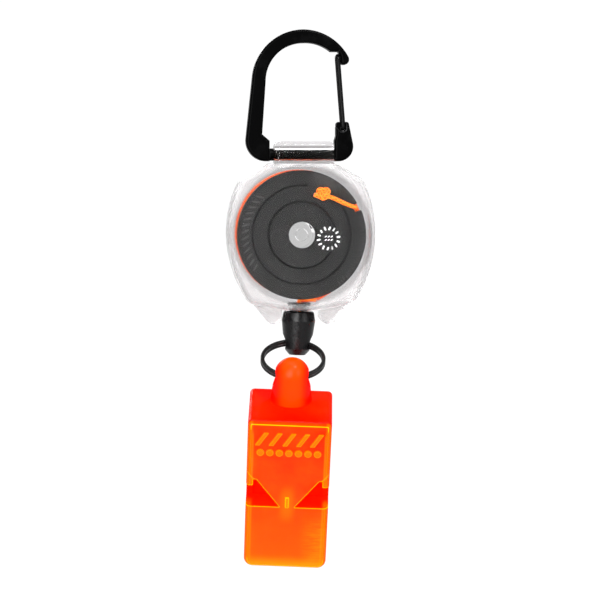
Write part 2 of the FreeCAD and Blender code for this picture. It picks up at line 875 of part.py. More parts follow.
# ------------------------------------------------------------------ cord


def make_cord_winding():
    """The wound cord as one closed ring. Its slack turns stand out a little at the upper left."""
    wide = "groove_front + groove_rear - 2*winding_gap"
    upright = FreeCAD.Rotation(AXIS_X, 90)
    rear = value("groove_rear - winding_gap")
    outside = doc.addObject("Part::Cylinder", "winding_outside")
    outside.setExpression("Radius", ref("winding_radius"))
    outside.setExpression("Height", ref(wide))
    shift = Vector(-value("winding_shift_left"), rear, value("winding_shift_up"))
    outside.Placement = FreeCAD.Placement(shift, upright)
    inside = doc.addObject("Part::Cylinder", "winding_inside")
    inside.setExpression("Radius", ref("groove_radius + winding_gap"))
    inside.setExpression("Height", ref(wide))
    inside.Placement = FreeCAD.Placement(Vector(0, rear, 0), upright)
    winding = doc.addObject("Part::Cut", "cord_winding")
    winding.Base = outside
    winding.Tool = inside
    winding.Placement = at_reel
    winding.Label = "cord_winding"
    parts["cord_winding"] = winding


def make_cord_tail():
    """The cord's inner end: out of the winding, over the rim's notch and along the face to its knot."""
    turn = math.radians(value("notch_turn"))
    reach = value("spool_radius - tail_in")
    rim = (reach * math.cos(turn), reach * math.sin(turn))
    depth = -value("tail_depth")
    route = [
        (rim[0], -value("groove_front - winding_gap"), rim[1]),
        (rim[0], depth, rim[1]),
        (value("knot_across"), depth, value("knot_rise")),
    ]
    cord("cord_tail", route, [value("tail_bend")], at_reel)


def make_anchor_knot():
    """The flattened stopper knot in the spool's pocket, with the cord's cut end beside it."""
    knot = doc.addObject("Part::Ellipsoid", "anchor_ball")
    knot.setExpression("Radius1", ref("knot_half_thick"))
    knot.setExpression("Radius2", ref("knot_radius"))
    knot.setExpression("Radius3", ref("knot_radius"))
    knot.Placement = FreeCAD.Placement(Vector(), FreeCAD.Rotation(AXIS_X, 90))
    stub = doc.addObject("Part::Cylinder", "anchor_stub")
    stub.setExpression("Radius", ref("cut_end_radius"))
    stub.setExpression("Height", ref("cut_end_long"))
    stub.Placement = place(AXIS_Y, value("cut_end_turn"))
    both = doc.addObject("Part::Fuse", "anchor_knot")
    both.Base = knot
    both.Tool = stub
    both.Placement = at_reel.multiply(
        place(across=value("knot_across"), depth=-value("tail_depth"), rise=value("knot_rise"))
    )
    both.Label = "anchor_knot"
    parts["anchor_knot"] = both


def make_cord_lead():
    """The cord from the winding's lower right, through the bushing, to its knot in the fitting."""
    lean = math.radians(value("chain_lean"))
    foot = value("case_foot")
    exit_across = value("exit_across")
    knot_drop = value("fitting_top + fitting_room_top + lead_in_knot")
    bend = value("bushing_top + lead_rise")
    depth = value("lead_depth")
    route = [
        (value("lead_start"), depth, bend + value("lead_slope")),
        (exit_across, depth, bend),
        (exit_across, 0.0, foot),
        (exit_across - math.sin(lean) * knot_drop, 0.0, foot - math.cos(lean) * knot_drop),
    ]
    cord("cord_lead", route, [value("lead_bend"), value("lead_sweep")], at_reel)


def make_end_knot():
    """The stopper knot that the fitting hangs on."""
    knot = doc.addObject("Part::Ellipsoid", "end_knot")
    knot.Label = "end_knot"
    knot.setExpression("Radius1", ref("end_knot_radius"))
    knot.setExpression("Radius2", ref("end_knot_radius"))
    knot.setExpression("Radius3", ref("end_knot_radius"))
    knot.Placement = at_exit.multiply(
        place(rise=-value("fitting_top + fitting_room_top + end_knot_radius + end_knot_gap"))
    )
    parts["end_knot"] = knot


# ------------------------------------------------------------------ lower chain


def make_end_fitting():
    """The turned barrel: a fine bore for the cord, a room for its knot and a flared eyelet."""
    body = new_body("end_fitting", at_fitting)
    profile = sketch_on(body, "XZ_Plane", "profile")
    top = "-fitting_top"
    outline(
        profile,
        [
            ("fitting_neck_bore + fitting_mouth", top),
            ("fitting_top_radius - fitting_edge", top),
            ("fitting_top_radius", top + " - fitting_edge"),
            ("fitting_belly", top + " - fitting_belly_drop"),
            ("fitting_waist", top + " - fitting_waist_drop"),
            ("fitting_foot", top + " - fitting_long"),
            ("fitting_room", top + " - fitting_long"),
            ("fitting_room", top + " - fitting_room_top"),
            ("fitting_neck_bore", top + " - fitting_room_top"),
            ("fitting_neck_bore", top + " - fitting_mouth"),
        ],
    )
    revolve("Revolution", body, profile, "V_Axis")
    eyelet = sketch_on(body, "XZ_Plane", "eyelet", shift="-eyelet_drop")
    outline(
        eyelet,
        [
            ("-eyelet_reach", "0"),
            ("eyelet_reach", "0"),
            ("eyelet_reach", "eyelet_mouth"),
            ("eyelet_straight", "eyelet_radius"),
            ("-eyelet_straight", "eyelet_radius"),
            ("-eyelet_reach", "eyelet_mouth"),
        ],
    )
    revolve("Groove", body, eyelet, "H_Axis")


def make_split_ring():
    """Two flat turns of wire, seen as one ring with a seam round its rims."""
    body = new_body("split_ring", at_ring)
    section = sketch_on(body, "YZ_Plane", "section", shift="-ring_mean")
    inner, outer = "ring_mean - ring_radial/2", "ring_mean + ring_radial/2"
    outline(
        section,
        [
            ("-ring_axial/2", inner),
            ("-ring_seam", inner),
            ("0", inner + " + ring_seam"),
            ("ring_seam", inner),
            ("ring_axial/2", inner),
            ("ring_axial/2", outer),
            ("ring_seam", outer),
            ("0", outer + " - ring_seam"),
            ("-ring_seam", outer),
            ("-ring_axial/2", outer),
        ],
    )
    revolve("Revolution", body, section, "H_Axis")


def whistle_slab(name, front, rear):
    """One moulding of the whistle: its outline between two planes square to Y."""
    body = new_body(name, at_whistle)
    shape = sketch_on(body, "XZ_Plane", "shape", lift="-(%s)" % rear)
    outline(
        shape,
        [
            ("-whistle_wide/2", "whistle_top - whistle_long"),
            ("whistle_wide/2", "whistle_top - whistle_long"),
            ("whistle_wide/2", "whistle_top"),
            ("-whistle_wide/2", "whistle_top"),
        ],
    )
    extrude("Pad", body, shape, "%s - (%s)" % (rear, front))
    for end, rise in (("top", "whistle_top"), ("low", "whistle_top - whistle_long")):
        round_edges(
            body,
            end + "_corners",
            "whistle_round_" + end,
            lambda spot, edge: runs_along(edge, AXIS_Y) and abs(spot.z - value(rise)) < 0.2,
        )
    return body


def make_whistle_core():
    """The middle moulding, with the lug for the ring and two hollows that the rear cover closes."""
    body = whistle_slab("whistle_core", "whistle_seam_front", "whistle_seam_rear")
    hollow = sketch_on(body, "XZ_Plane", "hollow", lift="-whistle_seam_rear")
    for hand in ("", "-"):
        outline(
            hollow,
            [
                (hand + "chamber_in", "window_low"),
                (hand + "(chamber_out - hollow_in)", "window_low"),
                (hand + "(chamber_out - hollow_in)", "chamber_top - hollow_top"),
                (hand + "chamber_in", "chamber_top - hollow_top"),
            ],
        )
    extrude("Pocket", body, hollow, "hollow_deep", forward=False)
    lug = sketch_on(body, "XZ_Plane", "lug")
    dome = "whistle_lug_dome + whistle_lug_neck"
    outline(
        lug,
        [
            ("0", "whistle_top"),
            ("whistle_lug_base", "whistle_top"),
            ("whistle_lug_neck", "whistle_lug_dome", "whistle_lug_neck", "left"),
            ("0", dome),
        ],
    )
    revolve("Revolution", body, lug, "V_Axis")
    hole = sketch_on(body, "XZ_Plane", "hole")
    outline(
        hole,
        [
            ("-whistle_hole_reach", "0"),
            ("whistle_hole_reach", "0"),
            ("whistle_hole_reach", "whistle_hole_mouth"),
            ("eyelet_straight", "whistle_hole"),
            ("-eyelet_straight", "whistle_hole"),
            ("-whistle_hole_reach", "whistle_hole_mouth"),
        ],
    )
    revolve("Groove", body, hole, "H_Axis")


def make_whistle_front_cover():
    """The front moulding: two chambers side by side, their windows, windways and a grip relief."""
    body = whistle_slab("whistle_front_cover", "whistle_front", "whistle_seam_front")
    face = value("whistle_front")
    round_edges(
        body,
        "face_edge",
        "whistle_round_front",
        lambda spot, edge: abs(spot.y - face) < 1e-6,
    )
    chambers = sketch_on(body, "XZ_Plane", "chambers", lift="-whistle_seam_front")
    windways = sketch_on(body, "XZ_Plane", "windways", lift="-whistle_seam_front")
    windows = sketch_on(body, "XZ_Plane", "windows", lift="-whistle_front")
    sides = sketch_on(body, "XZ_Plane", "sides", lift="-whistle_seam_front + windway_deep")
    for hand in ("", "-"):
        outline(
            chambers,
            [
                (hand + "chamber_in", "window_low"),
                (hand + "chamber_out", "window_low"),
                (hand + "chamber_out", "chamber_top"),
                (hand + "chamber_in", "chamber_top"),
            ],
        )
        outline(
            windways,
            [
                (hand + "chamber_in", "whistle_top - whistle_long - beyond"),
                (hand + "chamber_out", "whistle_top - whistle_long - beyond"),
                (hand + "chamber_out", "window_low + windway_lap"),
                (hand + "chamber_in", "window_low + windway_lap"),
            ],
        )
        outline(
            windows,
            [
                (hand + "window_in", "window_low"),
                (hand + "window_out", "window_low"),
                (hand + "window_out", "window_top"),
                (hand + "(window_out - window_slant)", "window_top"),
            ],
        )
        outline(
            sides,
            [
                (hand + "(chamber_out - beyond)", "window_low"),
                (hand + "(whistle_wide/2 + beyond)", "window_low"),
                (hand + "(whistle_wide/2 + beyond)", "window_low + window_side_tall"),
                (hand + "(chamber_out - beyond)", "window_low + window_side_tall + window_side_slant"),
            ],
        )
    extrude("Pocket", body, chambers, "whistle_seam_front - whistle_front - chamber_wall", forward=False)
    extrude("Pocket", body, windways, "windway_deep", forward=False)
    extrude("Pocket", body, windows, "chamber_wall + beyond")
    side_deep = "whistle_seam_front - whistle_front - windway_deep + beyond"
    extrude("Pocket", body, sides, side_deep, forward=False)
    relief = sketch_on(body, "XZ_Plane", "relief", lift="-whistle_front - weld")
    for step in range(-2, 3):
        outline(
            relief,
            [
                ("%d*stroke_pitch - stroke_out" % step, "whistle_top - stroke_low"),
                ("%d*stroke_pitch - stroke_in" % step, "whistle_top - stroke_low"),
                ("%d*stroke_pitch + stroke_out" % step, "whistle_top - stroke_top"),
                ("%d*stroke_pitch + stroke_in" % step, "whistle_top - stroke_top"),
            ],
        )
    for step in range(-3, 4):
        circle(relief, "%d*dot_pitch" % step if step else "0", "whistle_top - dot_drop", "dot_radius")
    outline(
        relief,
        [
            ("-ridge_half", "window_low"),
            ("ridge_half", "window_low"),
            ("ridge_half", "window_low + ridge_tall"),
            ("-ridge_half", "window_low + ridge_tall"),
        ],
    )
    extrude("Pad", body, relief, "relief_high + weld")


def make_whistle_rear_cover():
    """The rear moulding: a plate with a rounded rim."""
    body = whistle_slab("whistle_rear_cover", "whistle_seam_rear", "whistle_rear")
    face = value("whistle_rear")
    round_edges(
        body,
        "face_edge",
        "whistle_round_rear",
        lambda spot, edge: abs(spot.y - face) < 1e-6,
    )


# ------------------------------------------------------------------ build, check, write

make_carabiner_frame()
make_wire_gate()
make_front_case()
make_rear_case()
make_exit_bushing()
make_spool_drum()
make_spring_cover()
make_mainspring()
make_cord_winding()
make_cord_tail()
make_anchor_knot()
make_cord_lead()
make_end_knot()
make_end_fitting()
make_split_ring()
make_whistle_core()
make_whistle_front_cover()
make_whistle_rear_cover()
doc.recompute()

faults = []
for item in doc.Objects:
    if "Invalid" in item.State or "Error" in item.State:
        faults.append("%s is %s" % (item.Name, item.State))
for name, piece in parts.items():
    shape = piece.Shape
    if shape.isNull() or not shape.isValid() or not shape.Solids:
        faults.append("%s has no valid solid" % name)
if faults:
    raise RuntimeError("; ".join(faults))

os.makedirs("parts", exist_ok=True)
for name, piece in parts.items():
    shape = piece.Shape
    print("%s: %d solid(s), %.1f mm3" % (name, len(shape.Solids), shape.Volume))
    shape.exportStep(os.path.join("parts", name + ".step"))
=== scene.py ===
"""A retractable reel tether with a whistle: materials, cord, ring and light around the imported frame."""

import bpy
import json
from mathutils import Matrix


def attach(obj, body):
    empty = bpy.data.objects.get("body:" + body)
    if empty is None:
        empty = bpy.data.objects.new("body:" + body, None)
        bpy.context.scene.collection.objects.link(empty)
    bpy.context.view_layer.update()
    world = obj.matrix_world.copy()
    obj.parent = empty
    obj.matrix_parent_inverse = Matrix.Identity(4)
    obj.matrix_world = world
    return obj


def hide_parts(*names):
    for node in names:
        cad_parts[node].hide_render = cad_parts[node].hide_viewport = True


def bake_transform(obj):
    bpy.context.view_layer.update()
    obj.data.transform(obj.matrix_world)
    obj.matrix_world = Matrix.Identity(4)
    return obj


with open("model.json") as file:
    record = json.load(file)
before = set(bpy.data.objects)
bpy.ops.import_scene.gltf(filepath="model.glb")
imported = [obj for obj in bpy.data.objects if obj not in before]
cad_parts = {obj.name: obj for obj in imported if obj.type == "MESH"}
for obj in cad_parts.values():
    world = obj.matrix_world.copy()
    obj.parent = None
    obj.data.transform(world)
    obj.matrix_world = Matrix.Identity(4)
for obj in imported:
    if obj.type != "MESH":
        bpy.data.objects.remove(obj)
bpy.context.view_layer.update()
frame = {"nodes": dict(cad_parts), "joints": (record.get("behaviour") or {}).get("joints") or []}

import json
import math
import random

import bmesh
import bpy
from mathutils import Vector

MM = 0.001
FULL_TURN = 2 * math.pi
random.seed(11)
scene = bpy.context.scene
joints = {joint["name"]: joint for joint in frame["joints"]}
SPOOL = Vector(joints["spool_spin"]["pos_m"])
EXIT = Vector(joints["fitting_swivel"]["pos_m"])
DOWN = Vector(joints["cord_pull"]["axis"])
STRAND_PITCH = 1.5 * MM
STRANDS_ONE_WAY = 4


# ------------------------------------------------------------------ camera, light, floor

TARGET = Vector((0, 0, -69.1 * MM))
CAMERA_REACH = 0.62
CAMERA_LEFT = math.radians(5.5)
CAMERA_UP = math.radians(3.0)
LENS_LENGTH = 137.7
SENSOR_WIDTH = 36.0
FLOOR_REACH = 14.0
FLOOR_RISE = -0.82

# name, degrees to the left and up, distance, width and height in metres, power in watts
LIGHTS = (
    ("key", 24, 9, 0.75, 0.4, 0.6, 11.0),
    ("fill", -38, 12, 0.9, 0.3, 0.5, 3.0),
    ("top", -22, 52, 0.6, 0.24, 0.12, 7.0),
    ("back", 165, 25, 0.9, 0.5, 0.4, 5.0),
)
SKY = 1.03
SKY_LESS_ON_MATT = 0.35
SKY_LESS_IN_REFLECTIONS = 0.45
SUN_POWER = 1.5
SUN_SPREAD = math.radians(40)


def towards(left, up):
    """The direction from the object to a thing in front of it, so far to the left and up."""
    return Vector((-math.sin(left) * math.cos(up), -math.cos(left) * math.cos(up), math.sin(up)))


def aim(thing, spot, target):
    """Puts a camera or light at a spot, pointing at its target."""
    thing.location = spot
    thing.rotation_mode = "QUATERNION"
    thing.rotation_quaternion = (target - spot).to_track_quat("-Z", "Y")


def add_camera():
    lens = bpy.data.cameras.new("camera")
    lens.sensor_width = SENSOR_WIDTH
    lens.lens = LENS_LENGTH
    lens.clip_start = 0.02
    lens.clip_end = 60.0
    camera = bpy.data.objects.new("camera", lens)
    scene.collection.objects.link(camera)
    aim(camera, TARGET + towards(CAMERA_LEFT, CAMERA_UP) * CAMERA_REACH, TARGET)
    scene.camera = camera


def add_light(name, left, up, reach, wide, tall, power):
    """A soft box that faces the object."""
    lamp = bpy.data.lights.new(name, "AREA")
    lamp.shape = "RECTANGLE"
    lamp.size = wide
    lamp.size_y = tall
    lamp.energy = power
    light = bpy.data.objects.new(name, lamp)
    scene.collection.objects.link(light)
    aim(light, TARGET + towards(math.radians(left), math.radians(up)) * reach, TARGET)


# ------------------------------------------------------------------ node helpers


def node(tree, kind, settings=None, **inputs):
    """A shader node. An input is a value or another node's output; _0 is the first input."""
    made = tree.nodes.new("ShaderNode" + kind)
    for name, setting in (settings or {}).items():
        setattr(made, name, setting)
    for name, given in inputs.items():
        key = int(name[1:]) if name[0] == "_" else name.replace("_", " ")
        if isinstance(given, bpy.types.NodeSocket):
            tree.links.new(given, made.inputs[key])
        else:
            made.inputs[key].default_value = given
    return made


def maths(tree, work, first, second=0.0, third=0.0, clamp=False):
    settings = {"operation": work, "use_clamp": clamp}
    return node(tree, "Math", settings, _0=first, _1=second, _2=third).outputs[0]


def ramp(tree, amount, *stops):
    """Colours or greys along a ramp: (place, grey) or (place, (red, green, blue))."""
    made = node(tree, "ValToRGB", Fac=amount)
    scale = made.color_ramp
    while len(scale.elements) < len(stops):
        scale.elements.new(0.5)
    for element, (place, shade) in zip(scale.elements, stops):
        element.position = place
        element.color = (*shade, 1) if isinstance(shade, tuple) else (shade, shade, shade, 1)
    return made.outputs["Color"]


def blend_colour(tree, amount, first, second):
    made = node(tree, "Mix", {"data_type": "RGBA"})
    for socket, given in ((0, amount), (6, first), (7, second)):
        if isinstance(given, bpy.types.NodeSocket):
            tree.links.new(given, made.inputs[socket])
        else:
            made.inputs[socket].default_value = (*given, 1) if isinstance(given, tuple) else given
    return made.outputs[2]


def noise(tree, where, scale, detail=4.0, roughness=0.5):
    return node(tree, "TexNoise", Vector=where, Scale=scale, Detail=detail, Roughness=roughness).outputs[0]


def edges(tree, radius, low, high):
    """1 along the solid's edges, 0 away from them: where a rounded normal differs from the true one."""
    soft = node(tree, "Bevel", {"samples": 8}, Radius=radius).outputs[0]
    sharp = node(tree, "NewGeometry").outputs["Normal"]
    same = node(tree, "VectorMath", {"operation": "DOT_PRODUCT"}, _0=soft, _1=sharp).outputs["Value"]
    return node(tree, "MapRange", Value=same, From_Min=high, From_Max=low).outputs[0]


def fade(tree, amount, low, high, first=0.0, last=1.0):
    """A smooth step from one value to another between two places."""
    return node(
        tree, "MapRange", {"interpolation_type": "SMOOTHSTEP"},
        Value=amount, From_Min=low, From_Max=high, To_Min=first, To_Max=last,
    ).outputs[0]


def band(tree, amount, centre, half, soft):
    """1 within half of the centre, and 0 a little further out."""
    away = maths(tree, "ABSOLUTE", maths(tree, "SUBTRACT", amount, centre))
    return fade(tree, away, half, half + soft, 1.0, 0.0)


def both(tree, *masks):
    """Where all the masks are 1."""
    made = masks[0]
    for mask in masks[1:]:
        made = maths(tree, "MULTIPLY", made, mask)
    return made


def lookup(tree, where, *scale):
    """The place with each axis stretched, for a pattern that is longer one way."""
    return node(tree, "Mapping", Vector=where, Scale=scale).outputs[0]


def along_axis(tree, place, direction):
    """How far a place lies along a direction."""
    return node(tree, "VectorMath", {"operation": "DOT_PRODUCT"}, _0=place, _1=direction).outputs["Value"]


def offset(tree, where, origin):
    """The place as seen from an origin."""
    return node(tree, "VectorMath", {"operation": "SUBTRACT"}, _0=where, _1=origin).outputs[0]


def start(name):
    """A new material: its tree, its surface shader and the object's own coordinates."""
    material = bpy.data.materials.new(name)
    material.use_nodes = True
    tree = material.node_tree
    surface = tree.nodes["Principled BSDF"]
    where = node(tree, "TexCoord").outputs["Object"]
    return material, tree, surface, where


def bump(tree, surface, height, distance, strength=1.0):
    made = node(tree, "Bump", Height=height, Distance=distance, Strength=strength)
    tree.links.new(made.outputs[0], surface.inputs["Normal"])


def link(tree, output, surface, name):
    tree.links.new(output, surface.inputs[name])


# ------------------------------------------------------------------ materials


def black_metal(name, base, rubbed_and_highlight_grey, rough, specular):
    """Black coating on metal: a fine orange peel, faint scuffs, and edges painted brighter, partly as wear
    and partly as a painted highlight line.
    """
    material, tree, surface, where = start(name)
    patches = fade(tree, noise(tree, where, 420, 6.0, 0.62), 0.35, 0.7)
    # Edges painted brighter: partly wear, partly a painted highlight line along them.
    worn = maths(tree, "MULTIPLY", edges(tree, 0.5 * MM, 0.9, 0.995), patches)
    scuff = ramp(tree, noise(tree, where, 95, 8.0, 0.7), (0.52, 0.0), (0.74, 1.0))
    wear = maths(tree, "MULTIPLY_ADD", scuff, 0.06, maths(tree, "MULTIPLY", worn, 0.9), clamp=True)
    shade = blend_colour(tree, wear, (base, base, base * 1.06), (rubbed_and_highlight_grey, rubbed_and_highlight_grey, rubbed_and_highlight_grey * 1.04))
    link(tree, shade, surface, "Base Color")
    shine = maths(tree, "MULTIPLY_ADD", noise(tree, where, 260, 5.0), 0.16, rough)
    link(tree, maths(tree, "MULTIPLY_ADD", wear, 0.15, shine), surface, "Roughness")
    surface.inputs["Specular IOR Level"].default_value = specular
    peel = maths(tree, "MULTIPLY_ADD", noise(tree, where, 2600, 3.0), 0.6, noise(tree, where, 700, 3.0))
    bump(tree, surface, peel, 0.012 * MM, 0.6)
    return material


# where the case's frosting and milkiness start and are full, from the axle, and where its lug begins
FROST_STARTS, FROST_FULL, MILK_FULL = 16.9 * MM, 18.2 * MM, 19.4 * MM
LUG_STARTS, LUG_FULL = 18.8 * MM, 19.4 * MM


def clear_plastic():
    """Clear polycarbonate, frosted outside the spool's circle, with flow lines and hairline scratches."""
    material, tree, surface, where = start("clear_polycarbonate")
    surface.inputs["IOR"].default_value = 1.27
    surface.inputs["Specular Tint"].default_value = (0.5, 0.5, 0.5, 1)
    cloud = noise(tree, where, 130, 5.0, 0.6)
    tint = ramp(tree, cloud, (0.3, (0.88, 0.875, 0.878)), (0.75, (0.8, 0.785, 0.79)))
    from_axle = offset(tree, where, SPOOL)
    in_plane = node(tree, "VectorMath", {"operation": "MULTIPLY"}, _0=from_axle, _1=(1, 0, 1)).outputs[0]
    reach = node(tree, "VectorMath", {"operation": "LENGTH"}, _0=in_plane).outputs["Value"]
    rise = node(tree, "SeparateXYZ", Vector=from_axle).outputs["Z"]
    below_lug = fade(tree, rise, LUG_FULL, LUG_STARTS)
    outside = fade(tree, reach, FROST_STARTS, FROST_FULL)
    frost = both(tree, outside, maths(tree, "MULTIPLY_ADD", below_lug, 0.6, 0.4))
    link(tree, blend_colour(tree, outside, (0.985, 0.985, 0.985), tint), surface, "Base Color")
    rough = maths(tree, "MULTIPLY_ADD", frost, 0.2, maths(tree, "MULTIPLY", cloud, 0.07))
    link(tree, rough, surface, "Roughness")
    milky = maths(tree, "MULTIPLY_ADD", cloud, 0.12, 0.03)
    milk = both(tree, fade(tree, reach, FROST_FULL, MILK_FULL), below_lug, milky)
    link(tree, maths(tree, "SUBTRACT", 1.0, milk), surface, "Transmission Weight")
    flow = noise(tree, lookup(tree, where, 1, 1, 5), 160, 3.0)
    fine = noise(tree, where, 1800, 4.0, 0.6)
    bump(tree, surface, maths(tree, "MULTIPLY_ADD", fine, 0.2, flow), 0.02 * MM, 0.35)
    return material


def black_moulding(name, base, grain, rough, specular):
    """Black moulded plastic with a spark-eroded grain and paler handling marks, edges painted lighter as
    wear and as painted highlight, and painted shade in its crevices.
    """
    material, tree, surface, where = start(name)
    speck = noise(tree, where, 1900, 3.0, 0.75)
    handled = noise(tree, where, 240, 6.0, 0.6)
    tone = maths(tree, "MULTIPLY_ADD", handled, 0.5, maths(tree, "MULTIPLY", speck, 0.65))
    shade = ramp(tree, tone, (0.47, (base * 0.15,) * 3), (0.68, (base * 2.3,) * 3))
    # Edges painted lighter: partly wear, partly a painted highlight.
    rim = maths(tree, "MULTIPLY", edges(tree, 0.25 * MM, 0.85, 0.99), 0.5)
    worn = blend_colour(tree, rim, shade, (base * 4, base * 4, base * 4.1))
    # Painted shade: the colour darkens where ambient occlusion finds crevices and recesses.
    painted_crevice_shade_ao = node(tree, "AmbientOcclusion", {"samples": 12}, Distance=2.5 * MM).outputs["AO"]
    sunk = node(tree, "MapRange", Value=painted_crevice_shade_ao, From_Min=0.6, From_Max=1.0).outputs[0]
    link(tree, blend_colour(tree, sunk, (base * 0.25,) * 3, worn), surface, "Base Color")
    link(tree, maths(tree, "MULTIPLY_ADD", speck, 0.25, rough), surface, "Roughness")
    surface.inputs["Specular IOR Level"].default_value = specular
    bump(tree, surface, maths(tree, "MULTIPLY_ADD", speck, 0.6, noise(tree, where, 900, 4.0)), grain, 0.8)
    return material


def spring_steel():
    """Blued strip with drawing lines along its edge."""
    material, tree, surface, where = start("spring_steel")
    lines = noise(tree, lookup(tree, where, 1, 14, 1), 500, 4.0)
    link(tree, ramp(tree, lines, (0.3, (0.2, 0.22, 0.28)), (0.7, (0.5, 0.5, 0.52))), surface, "Base Color")
    surface.inputs["Metallic"].default_value = 1.0
    link(tree, maths(tree, "MULTIPLY_ADD", lines, 0.2, 0.22), surface, "Roughness")
    bump(tree, surface, lines, 0.01 * MM, 0.5)
    return material


def on_mesh(tree, where):
    """The share of a turn round the cord and the way along it, from the mesh's own layer."""
    parts = node(tree, "SeparateXYZ", Vector=node(tree, "UVMap", {"uv_map": "cord"}).outputs[0])
    return parts.outputs[0], parts.outputs[1]


def on_pull(tree, where):
    """The same for the pulled cord at any length of it, from its place below the bushing."""
    lean = math.asin(-DOWN.x)
    upright = node(
        tree, "VectorRotate", {"rotation_type": "Y_AXIS"}, Vector=offset(tree, where, EXIT), Angle=-lean,
    )
    parts = node(tree, "SeparateXYZ", Vector=upright.outputs[0])
    angle = maths(tree, "ARCTAN2", parts.outputs[0], parts.outputs[1])
    return maths(tree, "MULTIPLY", angle, 1 / FULL_TURN), parts.outputs[2]


def braid(name, place=on_mesh, red=0.0, painted_glow=0.3):
    """Braided cord: two sets of strands that cross, painted highlights on the strand crowns, painted shade
    in the valleys and a painted emission.
    """
    material, tree, surface, where = start(name)
    turn, run = place(tree, where)
    around = maths(tree, "MULTIPLY", turn, FULL_TURN * STRANDS_ONE_WAY)
    pair = []
    for hand in (1.0, -1.0):
        phase = maths(tree, "MULTIPLY_ADD", run, FULL_TURN / STRAND_PITCH * hand, around)
        pair.append(maths(tree, "MULTIPLY_ADD", maths(tree, "SINE", phase), 0.5, 0.5))
    height = maths(tree, "MAXIMUM", pair[0], pair[1])
    fuzz = noise(tree, where, 5200, 4.0, 0.7)
    tone = maths(tree, "MULTIPLY_ADD", fuzz, 0.5, maths(tree, "MULTIPLY", height, 0.6))
    # Painted shade in the valleys between strands and painted highlights on their crowns.
    painted_valley_shade, crown, painted_crown_highlight = (0.72, 0.03, 0.0), (1.0, 0.13, 0.004), (1.0, 0.26, 0.012)
    shade = ramp(tree, tone, (0.25, painted_valley_shade), (0.62, crown), (0.9, painted_crown_highlight))
    shade = blend_colour(tree, red, shade, (0.75, 0.05, 0.012))
    link(tree, shade, surface, "Base Color")
    # Painted light: the cord's colour is also emitted, so it stays bright in shade.
    link(tree, shade, surface, "Emission Color")
    surface.inputs["Emission Strength"].default_value = painted_glow
    link(tree, maths(tree, "MULTIPLY_ADD", fuzz, 0.2, 0.62), surface, "Roughness")
    surface.inputs["Specular IOR Level"].default_value = 0.2
    surface.inputs["Sheen Weight"].default_value = 0.15
    surface.inputs["Sheen Roughness"].default_value = 0.5
    bump(tree, surface, maths(tree, "MULTIPLY_ADD", fuzz, 0.3, height), 0.09 * MM, 1.0)
    return material


def glossy_black():
    """Glossy black moulding with fine handling scratches that break up its highlight."""
    material, tree, surface, where = start("glossy_black")
    rub = noise(tree, lookup(tree, where, 1, 1, 0.45), 900, 8.0, 0.75)
    wear = maths(tree, "MULTIPLY", edges(tree, 0.25 * MM, 0.85, 0.99), rub)
    shade = blend_colour(tree, wear, (0.002, 0.002, 0.0022), (0.05, 0.05, 0.052))
    link(tree, shade, surface, "Base Color")
    link(tree, ramp(tree, rub, (0.4, 0.16), (0.62, 0.42)), surface, "Roughness")
    surface.inputs["Specular IOR Level"].default_value = 0.15
    bump(tree, surface, rub, 0.07 * MM, 1.0)
    return material


WHISTLE_HOLE = Vector(joints["whistle_swing"]["pos_m"])
WHISTLE_ACROSS = -Vector(joints["whistle_swing"]["axis"])
WHISTLE_PITCH = math.radians(22.5)
# in the whistle's own axes, in mm from its hole: where its three mouldings meet and where its lug ends
WHISTLE_SEAMS = (-5.3, 4.2)
LUG_FOOT = -6.5
PLAIN_ORANGE = (1.0, 0.04, 0.0)


def whistle_place(tree, where):
    """The place in the whistle's own axes, in mm from its hole: across, back and up."""
    up = Vector(joints["fitting_swivel"]["axis"])
    back = up.cross(WHISTLE_ACROSS).normalized()
    deep = back * math.cos(WHISTLE_PITCH) + up * math.sin(WHISTLE_PITCH)
    tall = up * math.cos(WHISTLE_PITCH) - back * math.sin(WHISTLE_PITCH)
    from_hole = offset(tree, where, WHISTLE_HOLE)
    axes = [along_axis(tree, from_hole, axis / MM) for axis in (WHISTLE_ACROSS, deep, tall)]
    return axes, deep


def near_seams(tree, deep, half, soft):
    front, rear = (band(tree, deep, seam, half, soft) for seam in WHISTLE_SEAMS)
    return maths(tree, "MAXIMUM", front, rear)


def whistle_faces(tree, where, place, streak):
    """The front and rear: warmer towards the mouth, with painted light that the walls behind them carry and
    painted rays slanting from the windows.
    """
    across, deep, tall = place
    aside = maths(tree, "ABSOLUTE", across)
    low_right = both(tree, fade(tree, tall, -34.0, -40.0), fade(tree, across, 3.0, 9.0))
    middle = both(tree, band(tree, across, 0.0, 0.2, 2.6), band(tree, tall, -31.0, 1.5, 5.5))
    # Painted light: lighter bands over the walls and slanted rays beside the windows.
    painted_wall_light = both(tree, band(tree, aside, 9.5, 0.08, 0.3), fade(tree, tall, -9.0, -11.0))
    slant = maths(tree, "MULTIPLY_ADD", aside, -1.05, tall)
    painted_window_ray = both(tree, band(tree, slant, -33.2, 0.05, 0.4), fade(tree, aside, 7.6, 8.6))
    raised = fade(tree, deep, -13.4, -13.6)
    layers = (
        (fade(tree, tall, -22.0, -47.0), 0.75, PLAIN_ORANGE),
        (both(tree, low_right, fade(tree, streak, 0.3, 0.65)), 1.0, (1.0, 0.075, 0.0)),
        (middle, 0.45, (1.0, 0.09, 0.0)),
        (fade(tree, tall, -46.5, -50.5), 0.8, (1.0, 0.13, 0.0)),
        (fade(tree, aside, 9.3, 9.9), 0.7, (1.0, 0.06, 0.0)),
        (painted_wall_light, 0.25, (1.0, 0.15, 0.0)),
        (painted_window_ray, 0.6, (1.0, 0.16, 0.0)),
        (raised, 0.55, (1.0, 0.11, 0.0)),
    )
    cloud = noise(tree, where, 90, 4.0, 0.55)
    shade = ramp(tree, cloud, (0.3, (1.0, 0.006, 0.0)), (0.72, (1.0, 0.026, 0.0)))
    for mask, share, colour in layers:
        shade = blend_colour(tree, maths(tree, "MULTIPLY", mask, share), shade, colour)
    return shade


